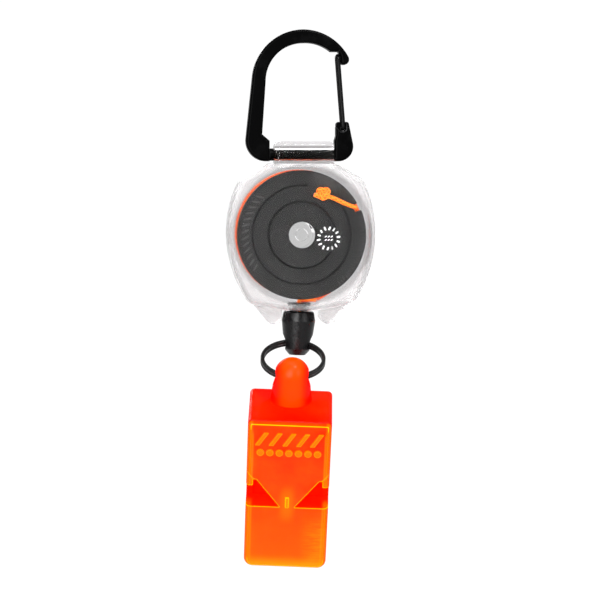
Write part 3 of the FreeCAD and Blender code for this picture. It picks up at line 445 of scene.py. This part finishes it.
def whistle_depths(tree, where, place, lug):
    """The end face, sides and lug, red because they are thick, with dark lines where mouldings meet and
    painted shade darkening the lug towards its sides.
    """
    across, deep, tall = place
    aside = maths(tree, "ABSOLUTE", across)
    cloud = noise(tree, where, 60, 5.0, 0.6)
    shade = ramp(tree, cloud, (0.35, (0.72, 0.0, 0.0)), (0.68, (1.0, 0.006, 0.0)))
    outside = maths(tree, "MAXIMUM", fade(tree, aside, 10.6, 10.9), fade(tree, tall, -50.4, -50.8))
    parting = both(tree, near_seams(tree, deep, 0.03, 0.06), outside)
    shade = blend_colour(tree, maths(tree, "MULTIPLY", parting, 0.8), shade, (0.22, 0.0, 0.0))
    beside_front = both(
        tree, fade(tree, aside, 9.0, 10.0), fade(tree, tall, -7.4, -8.6), fade(tree, deep, -8.0, -11.5)
    )
    shade = blend_colour(tree, beside_front, shade, PLAIN_ORANGE)
    # Painted shade: the lug turns darker red towards its sides.
    lug_painted_side_shade = blend_colour(tree, fade(tree, aside, 1.6, 4.6), (1.0, 0.02, 0.0), (0.9, 0.001, 0.0))
    return blend_colour(tree, lug, shade, lug_painted_side_shade)


def whistle_glow(tree, place, square_on):
    """The light that gathers along the front and rear mouldings' edges, less at the seams and relief."""
    across, deep, tall = place
    aside = maths(tree, "ABSOLUTE", across)
    relief = both(tree, band(tree, tall, -13.0, 3.6, 0.3), fade(tree, aside, 10.2, 9.8))
    dimmed = maths(tree, "MAXIMUM", near_seams(tree, deep, 0.7, 0.3), maths(tree, "MULTIPLY", relief, 0.65))
    quiet = maths(tree, "SUBTRACT", 1.0, dimmed)
    shell = maths(tree, "MAXIMUM", fade(tree, deep, -10.0, -11.5), fade(tree, deep, 4.8, 5.4))
    rim = both(tree, edges(tree, 0.5 * MM, 0.78, 0.999), quiet, shell, 0.8)
    top = fade(tree, tall, -9.4, -8.6, 0.1, 0.65)
    foot = fade(tree, tall, -47.5, -48.6, 0.1, 0.5)
    fillet = both(
        tree, band(tree, square_on, 0.91, 0.015, 0.035), fade(tree, deep, -11.8, -12.4),
        maths(tree, "MAXIMUM", top, foot),
    )
    return maths(tree, "MAXIMUM", rim, fillet)


def whistle_plastic():
    """Translucent fluorescent orange: light gathers at its edges, and it is deep red where it is thick."""
    material, tree, surface, where = start("fluorescent_orange")
    place, back = whistle_place(tree, where)
    deep, tall = place[1:]
    facing = along_axis(tree, node(tree, "NewGeometry").outputs["Normal"], back)
    square_on = maths(tree, "ABSOLUTE", facing)
    flat_on = fade(tree, square_on, 0.2, 0.7)
    lug = fade(tree, tall, LUG_FOOT, LUG_FOOT + 0.6)
    streak = noise(tree, lookup(tree, where, 0.25, 1, 2.5), 900, 5.0, 0.65)

    front = both(tree, flat_on, fade(tree, deep, -11.5, -12.6))
    rear = both(tree, flat_on, fade(tree, deep, 4.6, 5.6))
    thin = both(tree, maths(tree, "MAXIMUM", flat_on, lug), maths(tree, "MAXIMUM", front, rear))
    thick_shade = whistle_depths(tree, where, place, lug)
    body = blend_colour(tree, thin, thick_shade, whistle_faces(tree, where, place, streak))
    lit = blend_colour(tree, whistle_glow(tree, place, square_on), body, (1.0, 0.3, 0.0))
    link(tree, lit, surface, "Base Color")
    # Painted light: the colour is also emitted, so the whistle stays saturated in shade.
    link(tree, lit, surface, "Emission Color")
    surface.inputs["Emission Strength"].default_value = 0.5
    surface.inputs["Subsurface Weight"].default_value = 0.2
    surface.inputs["Subsurface Radius"].default_value = (1.0, 0.12, 0.005)
    surface.inputs["Subsurface Scale"].default_value = 1.6 * MM
    surface.inputs["Specular IOR Level"].default_value = 0.0
    surface.inputs["Coat Weight"].default_value = 0.1
    surface.inputs["Coat Roughness"].default_value = 0.06
    handled = noise(tree, where, 600, 6.0, 0.6)
    link(tree, maths(tree, "MULTIPLY_ADD", handled, 0.16, 0.2), surface, "Roughness")
    ripple = maths(tree, "MULTIPLY_ADD", noise(tree, where, 2600, 3.0), 0.12, noise(tree, where, 210, 3.0))
    bump(tree, surface, maths(tree, "MULTIPLY_ADD", streak, 0.15, ripple), 0.05 * MM, 0.5)
    return material


def white_print():
    """White ink, worn thin in specks."""
    material, tree, surface, where = start("white_print")
    worn = noise(tree, where, 4200, 4.0, 0.7)
    link(tree, ramp(tree, worn, (0.35, (0.55, 0.55, 0.55)), (0.55, (0.9, 0.9, 0.9))), surface, "Base Color")
    link(tree, maths(tree, "MULTIPLY_ADD", worn, 0.3, 0.4), surface, "Roughness")
    # Painted light: a faint white emission keeps the print bright behind the clear case.
    surface.inputs["Emission Color"].default_value = (1, 1, 1, 1)
    surface.inputs["Emission Strength"].default_value = 0.12
    bump(tree, surface, worn, 0.01 * MM, 0.5)
    return material


def dress(name, material):
    """Gives a CAD node its material."""
    mesh = frame["nodes"][name].data
    mesh.materials.clear()
    mesh.materials.append(material)


# ------------------------------------------------------------------ mesh helpers


def route_points(points, resolution=10):
    """Points along the smooth line of a NURBS spline through a route."""
    data = bpy.data.curves.new("route", "CURVE")
    data.dimensions = "3D"
    spline = data.splines.new("NURBS")
    spline.points.add(len(points) - 1)
    for spot, point in zip(spline.points, points):
        spot.co = (*point, 1)
    spline.order_u = 3
    spline.use_endpoint_u = True
    spline.resolution_u = resolution
    holder = bpy.data.objects.new("route", data)
    scene.collection.objects.link(holder)
    bpy.context.view_layer.update()
    mesh = bpy.data.meshes.new_from_object(holder.evaluated_get(bpy.context.evaluated_depsgraph_get()))
    line = [vertex.co.copy() for vertex in mesh.vertices]
    bpy.data.meshes.remove(mesh)
    bpy.data.objects.remove(holder)
    bpy.data.curves.remove(data)
    return line


def spaced(line, step):
    """The same line with points about so far apart."""
    made = [line[0]]
    left = step
    for first, last in zip(line, line[1:]):
        run = (last - first).length
        along = left
        while along <= run:
            made.append(first.lerp(last, along / run))
            along += step
        left = along - run
    if (made[-1] - line[-1]).length > step * 0.3:
        made.append(line[-1])
    return made


def finish_mesh(name, graph, material, body, stands_for=(), smooth=True):
    """Makes a piece of a finished graph, rides it on its body and hides the CAD nodes it replaces."""
    mesh = bpy.data.meshes.new(name)
    bmesh.ops.recalc_face_normals(graph, faces=graph.faces)
    graph.to_mesh(mesh)
    graph.free()
    mesh.materials.append(material)
    for face in mesh.polygons:
        face.use_smooth = smooth
    piece = bpy.data.objects.new(name, mesh)
    scene.collection.objects.link(piece)
    if body:
        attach(piece, body)
    if stands_for:
        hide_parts(*stands_for)
    return piece


def skin(graph, rings):
    """Side faces between rings of vertices, each with its ring's and step's number, and two end faces."""
    count = len(rings[0])
    sides = []
    for number, (ring, after) in enumerate(zip(rings, rings[1:])):
        for step in range(count):
            nxt = (step + 1) % count
            face = graph.faces.new((ring[step], ring[nxt], after[nxt], after[step]))
            sides.append((number, step, face))
    graph.faces.new(rings[0][::-1])
    graph.faces.new(rings[-1])
    return sides


def sweep(graph, line, section):
    """A tube along a line. The section gives its (side, up) points at a distance along the line."""
    layer = graph.loops.layers.uv.new("cord")
    rings = []
    runs = []
    up = None
    run = 0.0
    for number, spot in enumerate(line):
        ahead = line[min(number + 1, len(line) - 1)] - line[max(number - 1, 0)]
        ahead.normalize()
        if up is None:
            up = ahead.orthogonal().normalized()
        up = (up - ahead * up.dot(ahead)).normalized()
        side = ahead.cross(up)
        if number:
            run += (spot - line[number - 1]).length
        runs.append(run)
        rings.append([graph.verts.new(spot + side * a + up * b) for a, b in section(run)])
    count = len(rings[0])
    for number, step, face in skin(graph, rings):
        turns = (step / count, (step + 1) / count, (step + 1) / count, step / count)
        lengths = (runs[number], runs[number], runs[number + 1], runs[number + 1])
        for loop, turn, length in zip(face.loops, turns, lengths):
            loop[layer].uv = (turn, length)


def braided(radius, sides, depth):
    """A round section whose surface rises and falls with eight strands that cross."""

    def section(run):
        spots = []
        for step in range(sides):
            turn = FULL_TURN * step / sides
            phases = [STRANDS_ONE_WAY * turn + hand * run * FULL_TURN / STRAND_PITCH for hand in (1, -1)]
            reach = radius - depth * (1 - max(math.sin(phase) for phase in phases)) * 0.5
            spots.append((math.cos(turn) * reach, math.sin(turn) * reach))
        return spots

    return section


def plain(radius, sides):
    """A round section that stays the same along the cord."""
    turns = [FULL_TURN * step / sides for step in range(sides)]
    spots = [(math.cos(turn) * radius, math.sin(turn) * radius) for turn in turns]
    return lambda run: spots


# ------------------------------------------------------------------ cord

CORD = 0.6 * MM
NOTCH_TURN = math.radians(26.7)
NOTCH_REACH = 16.35
# the groove, in mm from the spool's centre: the first layer's reach, a layer's rise, its front and width
GROOVE_REACH = 14.93
LAYER_RISE = 1.02
GROOVE_FRONT = -1.55
GROOVE_WIDE = 3.2
LAYERS = 3
TURNS_A_LAYER = 3.0
LAYER_CHANGE = 0.93
# the outer turns' slack: after so many turns, towards the upper left
SLACK_FROM = 5.6
SLACK_TURN = math.radians(147)
# where the wound cord ends and the lead starts
LAST_TURNED = NOTCH_TURN + math.radians(76.3) + FULL_TURN * 8
LEAD_REACH = 18.05
LEAD_DEPTH = 0.1
LEAD_EASE = math.radians(40)


def at_spool(across, depth, rise):
    """A place in mm from the spool's centre."""
    return SPOOL + Vector((across, depth, rise)) * MM


def wound_point(turned):
    """The wound cord's centre after so much turning from the rim's notch, in radians."""
    turns = turned / FULL_TURN
    layer = min(LAYERS - 1.0, turns / TURNS_A_LAYER)
    step = layer % 1.0
    level = int(layer)
    sway = 0.12 * math.sin(turned * 1.7) + 0.08 * math.sin(turned * 3.1 + 1.0)
    side = step if level % 2 == 0 else 1 - step
    rise_over = max(0.0, (step - LAYER_CHANGE) / (1 - LAYER_CHANGE))
    if level == LAYERS - 1:
        side = turns / TURNS_A_LAYER - level
        rise_over = 0.0
    depth = GROOVE_FRONT + GROOVE_WIDE * side + sway * 0.6
    reach = GROOVE_REACH + LAYER_RISE * (level + rise_over) + 0.05 * math.sin(turned * 2.3)
    turn = NOTCH_TURN - turned
    if turns > SLACK_FROM:
        loose = max(0.0, math.cos(turn - SLACK_TURN)) ** 2
        wander = 0.54 + 0.13 * math.sin(turned * 0.9)
        reach += loose * wander * min(1.0, (turns - SLACK_FROM) / 0.8)
    return turn, reach, depth


def add_winding(material):
    """The wound cord as one strand: three layers in the groove, the outer turns slack at the upper left."""
    points = []
    count = 150
    for number in range(count + 1):
        turned = LAST_TURNED * number / count
        turn, reach, depth = wound_point(turned)
        ending = max(0.0, 1 - (LAST_TURNED - turned) / LEAD_EASE)
        reach = reach * (1 - ending) + LEAD_REACH * ending
        depth = depth * (1 - ending) + LEAD_DEPTH * ending
        points.append(at_spool(math.cos(turn) * reach, depth, math.sin(turn) * reach))
    graph = bmesh.new()
    sweep(graph, spaced(route_points(points, 8), 0.8 * MM), plain(CORD, 10))
    finish_mesh("wound_cord", graph, material, "spool", ["cord_winding"])


def knot_line(centre, size, across, up, front, flat):
    """An overhand knot seen from the front: an open trefoil whose ends leave left and right."""
    line = []
    count = 72
    gap = 0.12
    for number in range(count + 1):
        share = number / count
        turn = math.pi + gap + share * (FULL_TURN - 2 * gap)
        lift = math.sin(3 * turn) + 0.7 * (1 - 2 * share) ** 5
        line.append(
            centre
            + across * (math.sin(turn) + 2 * math.sin(2 * turn)) * size
            + up * (math.cos(turn) - 2 * math.cos(2 * turn)) * size
            + front * lift * size * flat
        )
    return line


def add_anchor(material):
    """The cord's inner end: out of the groove, over the rim's notch, to its knot and its cut end."""
    knot = at_spool(5.86, -4.3, 11.1)
    across, up, front = Vector((1, 0, 0)), Vector((0, 0, 1)), Vector((0, -1, 0))
    middle = knot_line(knot + up * 0.05 * MM, 0.5 * MM, across, up, front, 0.85)
    rim = (math.cos(NOTCH_TURN) * NOTCH_REACH, math.sin(NOTCH_TURN) * NOTCH_REACH)
    ahead = (math.sin(NOTCH_TURN), -math.cos(NOTCH_TURN))
    under = NOTCH_TURN - 0.16
    leave = [
        middle[-1],
        knot + Vector((0.9, 0.3, -1.0)) * MM,
        knot + Vector((1.8, 0.25, -0.8)) * MM,
        at_spool(rim[0] - 2.6, -4.35, rim[1] + 0.85),
        at_spool(rim[0] - 0.5, -4.3, rim[1] + 0.1),
        at_spool(rim[0], -4.2, rim[1]),
        at_spool(rim[0] - 0.15, -2.4, rim[1] - 0.1),
        at_spool(rim[0] + ahead[0] * 0.8 - 0.9, -1.7, rim[1] + ahead[1] * 0.8 - 0.3),
        at_spool(math.cos(under) * GROOVE_REACH, GROOVE_FRONT, math.sin(under) * GROOVE_REACH),
    ]
    cut = [
        knot + Vector((-2.5, 0.1, -0.35)) * MM,
        knot + Vector((-1.7, 0.2, -0.6)) * MM,
        knot + Vector((-0.9, 0.3, -1.0)) * MM,
        middle[0],
    ]
    line = route_points(cut, 8) + middle[1:-1] + route_points(leave, 10)
    graph = bmesh.new()
    sweep(graph, spaced(line, 0.11 * MM), braided(0.58 * MM, 20, 0.1 * MM))
    finish_mesh("anchor_cord", graph, material, "spool", ["cord_tail", "anchor_knot"])


def add_lead(material):
    """The cord from the winding through the bushing to its end knot."""
    route = [
        at_spool(4.3, LEAD_DEPTH, -17.6),
        at_spool(2.6, LEAD_DEPTH, -17.64),
        at_spool(0.9, LEAD_DEPTH, -17.68),
        at_spool(-0.3, LEAD_DEPTH, -17.75),
        at_spool(-0.3, LEAD_DEPTH, -19.2),
        EXIT,
        EXIT + DOWN * 3.0 * MM,
        EXIT + DOWN * 5.4 * MM,
    ]
    graph = bmesh.new()
    sweep(graph, spaced(route_points(route, 14), 0.1 * MM), plain(CORD * 0.98, 20))
    piece = finish_mesh("lead_cord", graph, material, None, ["cord_lead"])
    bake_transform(piece)


def add_end_knot(material):
    """The stopper knot inside the fitting."""
    across = Vector((1, 0, 0))
    front = DOWN.cross(across).normalized()
    line = knot_line(EXIT + DOWN * 6.1 * MM, 0.33 * MM, DOWN * -1, across, front, 1.0)
    graph = bmesh.new()
    sweep(graph, spaced(line, 0.11 * MM), braided(0.5 * MM, 16, 0.07 * MM))
    finish_mesh("stopper_knot", graph, material, "cord_end", ["end_knot"])


# ------------------------------------------------------------------ split ring


def add_split_ring(material):
    """One flat wire wound twice round, crossing from one side to the other where its ends meet."""
    top = Vector(joints["ring_swing"]["pos_m"])
    low = Vector(joints["whistle_swing"]["pos_m"])
    centre = (top + low) / 2
    mean = (top - low).length / 2
    up = (top - centre).normalized()
    across = -Vector(joints["ring_swing"]["axis"]).normalized()
    axle = up.cross(across)
    split = math.radians(205)
    cross_over = math.radians(24)
    end_gap = math.radians(1.5)
    total = 2 * FULL_TURN - cross_over - end_gap
    half, step, corner = 0.5 * MM, 0.45 * MM, 0.16 * MM
    thick = step - 0.012 * MM
    outline = []
    for a, b in ((1, 1), (-1, 1), (-1, -1), (1, -1)):
        pair = [(a * (half - corner), b * thick), (a * half, b * (thick - corner))]
        if a * b > 0:
            pair.reverse()
        outline += pair
    graph = bmesh.new()
    rings = []
    count = 300
    for number in range(count + 1):
        turned = total * number / count
        shift = (turned - (FULL_TURN - cross_over)) / cross_over
        shift = max(0.0, min(1.0, shift))
        shift = shift * shift * (3 - 2 * shift)
        side = -step + 2 * step * shift
        turn = split + turned
        outward = across * math.sin(turn) + up * math.cos(turn)
        wire = [centre + outward * (mean + r) + axle * (side + s) for r, s in outline]
        rings.append([graph.verts.new(spot) for spot in wire])
    skin(graph, rings)
    piece = finish_mesh("split_ring_coil", graph, material, "ring", ["split_ring"])
    softer = piece.modifiers.new("soft_edges", "BEVEL")
    softer.width = 0.05 * MM
    softer.segments = 2
    softer.limit_method = "ANGLE"
    softer.angle_limit = math.radians(30)


# ------------------------------------------------------------------ spool face


# the face and the sunk ring in it, in mm from the spool's centre
FACE_FRONT = 5.2
DISH_SUNK = 0.8
DISH_FROM, DISH_TO = 8.7, 13.5
DISH_SLOPE = 0.5
BACK_INTO_FACE = 0.02


def face_depth(across, rise):
    """How far forward the spool's face stands there, in mm."""
    reach = math.hypot(across, rise)
    sunk = min(reach - DISH_FROM, DISH_TO - reach) / DISH_SLOPE
    return DISH_SUNK * max(0.0, min(1.0, sunk)) - FACE_FRONT


def slab(graph, grids):
    """A closed solid between a front and a rear grid of vertices."""
    rims = []
    for grid in grids:
        for first, second in zip(grid, grid[1:]):
            for b in range(len(first) - 1):
                graph.faces.new((first[b], first[b + 1], second[b + 1], second[b]))
        far_side = [row[-1] for row in grid[1:]]
        near_side = [row[0] for row in grid[-2:0:-1]]
        rims.append(grid[0] + far_side + grid[-1][-2::-1] + near_side)
    front, rear = rims
    for number in range(len(front)):
        graph.faces.new((front[number - 1], front[number], rear[number], rear[number - 1]))


def add_marks(name, marks, lift, material):
    """Thin raised dashes on the face. A mark is (across, rise, long, wide, turn), in mm and degrees."""
    graph = bmesh.new()
    steps_long, steps_wide = 6, 2
    for across, rise, long, wide, turn in marks:
        along = Vector((math.cos(math.radians(turn)), math.sin(math.radians(turn))))
        over = Vector((-along.y, along.x))
        grids = ([], [])
        for a in range(steps_long + 1):
            share = a / steps_long - 0.5
            narrow = 1 - 0.35 * (2 * abs(share)) ** 3
            row = []
            for b in range(steps_wide + 1):
                side = b / steps_wide - 0.5
                spot = Vector((across, rise)) + along * share * long + over * side * wide * narrow
                row.append((spot.x, face_depth(spot.x, spot.y), spot.y))
            for grid, shift in zip(grids, (-lift, BACK_INTO_FACE)):
                grid.append([graph.verts.new(at_spool(x, depth + shift, y)) for x, depth, y in row])
        slab(graph, grids)
    finish_mesh(name, graph, material, "spool", smooth=False)


def on_circle(centre, reach, turn):
    angle = math.radians(turn)
    return centre[0] + reach * math.cos(angle), centre[1] + reach * math.sin(angle)


def printed_marks():
    """A ring of plain dashes right of the hub, with two rows of short slanted dashes inside it."""
    centre = (7.2, -0.95)
    marks = []
    count = 14
    for number in range(count):
        turn = 360 * number / count + 8
        spot = on_circle(centre, 2.75 + random.uniform(-0.05, 0.05), turn)
        long = random.uniform(0.82, 1.05)
        wide = random.uniform(0.42, 0.52)
        marks.append((*spot, long, wide, turn + random.uniform(-25, 25)))
    for across in (-0.8, 0.0, 0.8):
        for rise in (-0.4, 0.5):
            marks.append((centre[0] + across, centre[1] + rise, 0.66, 0.28, 35))
    return marks


def moulded_marks():
    """A fine ring with ticks in it left of the hub, ticks along the rim's right and ribs at its left."""
    marks = []
    count = 32
    for number in range(count):
        turn = 360 * number / count
        marks.append((*on_circle((-5.9, -0.9), 2.4, turn), 0.5, 0.09, turn + 90))
    for number in range(5):
        odd = number % 2
        marks.append((-5.5 + 0.3 * odd, -1.9 + 0.5 * number, 0.55, 0.12, 20 - 35 * odd))
    for number in range(24):
        turn = -52 + 3.1 * number
        if 18 < turn < 33:
            continue
        spot = on_circle((0, 0), 16.3 + 0.35 * math.sin(number * 2.4), turn)
        marks.append((*spot, 1.1, 0.22, turn + 14 * math.sin(number * 1.9)))
    for number in range(13):
        turn = 138 + 6.4 * number
        marks.append((*on_circle((0, 0), 15.2, turn), 2.1, 0.5, turn + 28))
    return marks


# ------------------------------------------------------------------ put together


def add_floor():
    """A plain pale floor well below the object."""
    floor = bmesh.new()
    bmesh.ops.create_circle(floor, cap_ends=True, segments=96, radius=FLOOR_REACH)
    mesh = bpy.data.meshes.new("floor")
    floor.to_mesh(mesh)
    floor.free()
    piece = bpy.data.objects.new("floor", mesh)
    piece.location = (0, 0, FLOOR_RISE)
    material, tree, surface, where = start("floor_paint")
    link(tree, ramp(tree, noise(tree, where, 3, 3.0), (0.3, 0.93), (0.7, 0.96)), surface, "Base Color")
    surface.inputs["Roughness"].default_value = 0.9
    surface.inputs["Specular IOR Level"].default_value = 0.1
    mesh.materials.append(material)
    scene.collection.objects.link(piece)


def add_studio():
    """A white sky, dimmed for light on matt surfaces and in reflections, soft boxes and a floor light."""
    world = bpy.data.worlds.new("studio")
    world.use_nodes = True
    tree = world.node_tree
    back = tree.nodes["Background"]
    path = node(tree, "LightPath")
    dimmed = maths(tree, "MULTIPLY_ADD", path.outputs["Is Diffuse Ray"], -SKY_LESS_ON_MATT, SKY)
    dimmed = maths(tree, "MULTIPLY_ADD", path.outputs["Is Glossy Ray"], -SKY_LESS_IN_REFLECTIONS, dimmed)
    tree.links.new(dimmed, back.inputs["Strength"])
    back.inputs["Color"].default_value = (1, 1, 1, 1)
    scene.world = world
    for soft_box in LIGHTS:
        add_light(*soft_box)
    lamp = bpy.data.lights.new("floor_sun", "SUN")
    lamp.energy = SUN_POWER
    lamp.angle = SUN_SPREAD
    light = bpy.data.objects.new("floor_sun", lamp)
    scene.collection.objects.link(light)
    scene.view_settings.view_transform = "Standard"


add_camera()
add_studio()
add_floor()

alloy = black_metal("black_alloy_coat", 0.0004, 0.03, 0.24, 0.012)
steel = black_metal("black_wire_coat", 0.001, 0.05, 0.26, 0.05)
ring_steel = black_metal("black_oxide", 0.002, 0.08, 0.28, 0.1)
clear = clear_plastic()
drum = black_moulding("black_drum", 0.018, 0.04 * MM, 0.5, 0.25)
nylon = black_moulding("black_nylon", 0.012, 0.02 * MM, 0.4, 0.4)
orange = whistle_plastic()
cord_braid = braid("orange_braid")
wound_braid = braid("orange_braid_wound", red=0.55, painted_glow=0.1)
lead_braid = braid("orange_braid_lead", on_pull)
drum_marks = black_moulding("drum_marks", 0.05, 0.02 * MM, 0.4, 0.6)

dress("carabiner_frame", alloy)
dress("wire_gate", steel)
dress("front_case", clear)
dress("rear_case", clear)
dress("exit_bushing", nylon)
dress("spool_drum", drum)
dress("spring_cover", drum)
dress("mainspring", spring_steel())
dress("end_fitting", glossy_black())
for name in ("whistle_core", "whistle_front_cover", "whistle_rear_cover"):
    dress(name, orange)

add_winding(wound_braid)
add_anchor(cord_braid)
add_lead(lead_braid)
add_end_knot(cord_braid)
add_split_ring(ring_steel)
add_marks("face_print", printed_marks(), 0.03, white_print())
add_marks("face_moulding", moulded_marks(), 0.14, drum_marks)
